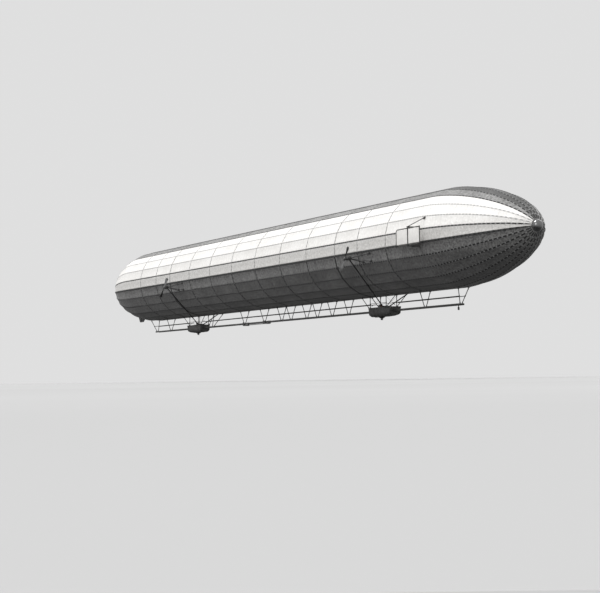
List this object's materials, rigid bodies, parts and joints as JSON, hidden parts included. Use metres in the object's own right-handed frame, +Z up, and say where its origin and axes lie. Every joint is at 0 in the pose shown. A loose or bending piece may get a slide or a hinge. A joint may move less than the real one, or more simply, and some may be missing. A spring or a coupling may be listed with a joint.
{
  "type": "rigid airship, 1:10 scale model",
  "caption": "Long cloth-covered rigid airship with two open cars under a walkway, outrigger propellers and small rudders.",
  "frame": {"origin": "centre of the hull, on its axis, where the lift of the gas acts", "axes": "+X to the nose, +Y to port, +Z up"},
  "size_m": [12.868, 1.6602, 1.4655],
  "materials": {
    "envelope_cloth": "matt",
    "rudder_cloth": "matt",
    "cap_metal": "polished",
    "car_metal": "weathered",
    "walkway_metal": "matt",
    "strut_metal": "satin",
    "blade_metal": "brushed",
    "shaft_steel": "satin",
    "engine_iron": "matt",
    "lead": "matt"
  },
  "bodies": {
    "hull": {"envelope_bow": "envelope_cloth", "envelope_middle": "envelope_cloth", "envelope_stern": "envelope_cloth", "nose_cap": "cap_metal", "tail_cap": "cap_metal", "walkway_bow": "walkway_metal", "walkway_middle": "walkway_metal", "walkway_stern": "walkway_metal", "bow_line_block": "strut_metal", "gondola_fore": "car_metal", "gondola_aft": "car_metal", "engine_fore": "engine_iron", "engine_aft": "engine_iron", "hanger_fore": "strut_metal", "hanger_aft": "strut_metal", "buffer_fore": "strut_metal", "buffer_aft": "strut_metal", "prop_bracket_fore_port": "strut_metal", "prop_bracket_fore_starboard": "strut_metal", "prop_bracket_aft_port": "strut_metal", "prop_bracket_aft_starboard": "strut_metal", "drive_shaft_fore_port": "shaft_steel", "drive_shaft_fore_starboard": "shaft_steel", "drive_shaft_aft_port": "shaft_steel", "drive_shaft_aft_starboard": "shaft_steel", "rudder_frame_port": "strut_metal", "rudder_frame_starboard": "strut_metal", "stern_rudder_foot": "strut_metal"},
    "propeller_fore_port": {"propeller_fore_port": "blade_metal"},
    "propeller_fore_starboard": {"propeller_fore_starboard": "blade_metal"},
    "propeller_aft_port": {"propeller_aft_port": "blade_metal"},
    "propeller_aft_starboard": {"propeller_aft_starboard": "blade_metal"},
    "rudder_port": {"rudder_port": "rudder_cloth"},
    "rudder_starboard": {"rudder_starboard": "rudder_cloth"},
    "stern_rudder": {"stern_rudder": "rudder_cloth"},
    "running_weight": {"running_weight": "lead"}
  },
  "joints": [
    {"name": "propeller_fore_port_turn", "type": "hinge", "parent": "hull", "child": "propeller_fore_port", "pos_m": [3.4, 0.76, -0.16], "axis": [1, 0, 0], "continuous": true},
    {"name": "propeller_fore_starboard_turn", "type": "hinge", "parent": "hull", "child": "propeller_fore_starboard", "pos_m": [3.4, -0.76, -0.16], "axis": [1, 0, 0], "continuous": true},
    {"name": "propeller_aft_port_turn", "type": "hinge", "parent": "hull", "child": "propeller_aft_port", "pos_m": [-2.6, 0.76, -0.16], "axis": [1, 0, 0], "continuous": true},
    {"name": "propeller_aft_starboard_turn", "type": "hinge", "parent": "hull", "child": "propeller_aft_starboard", "pos_m": [-2.6, -0.76, -0.16], "axis": [1, 0, 0], "continuous": true},
    {"name": "rudder_port_turn", "type": "hinge", "parent": "hull", "child": "rudder_port", "pos_m": [4.95, 0.772, 0], "axis": [0, 0, 1], "range_deg": [-25, 25]},
    {"name": "rudder_starboard_turn", "type": "hinge", "parent": "hull", "child": "rudder_starboard", "pos_m": [4.95, -0.772, 0], "axis": [0, 0, 1], "range_deg": [-25, 25]},
    {"name": "stern_rudder_turn", "type": "hinge", "parent": "hull", "child": "stern_rudder", "pos_m": [-5.6, 0, -0.5], "axis": [0, 0, 1], "range_deg": [-25, 25]},
    {"name": "running_weight_slide", "type": "slide", "parent": "hull", "child": "running_weight", "axis": [1, 0, 0], "range_m": [-1.26, 2.86]}
  ],
  "couplings": [
    {"joint": "rudder_starboard_turn", "follows": "rudder_port_turn", "ratio": 1}
  ]
}
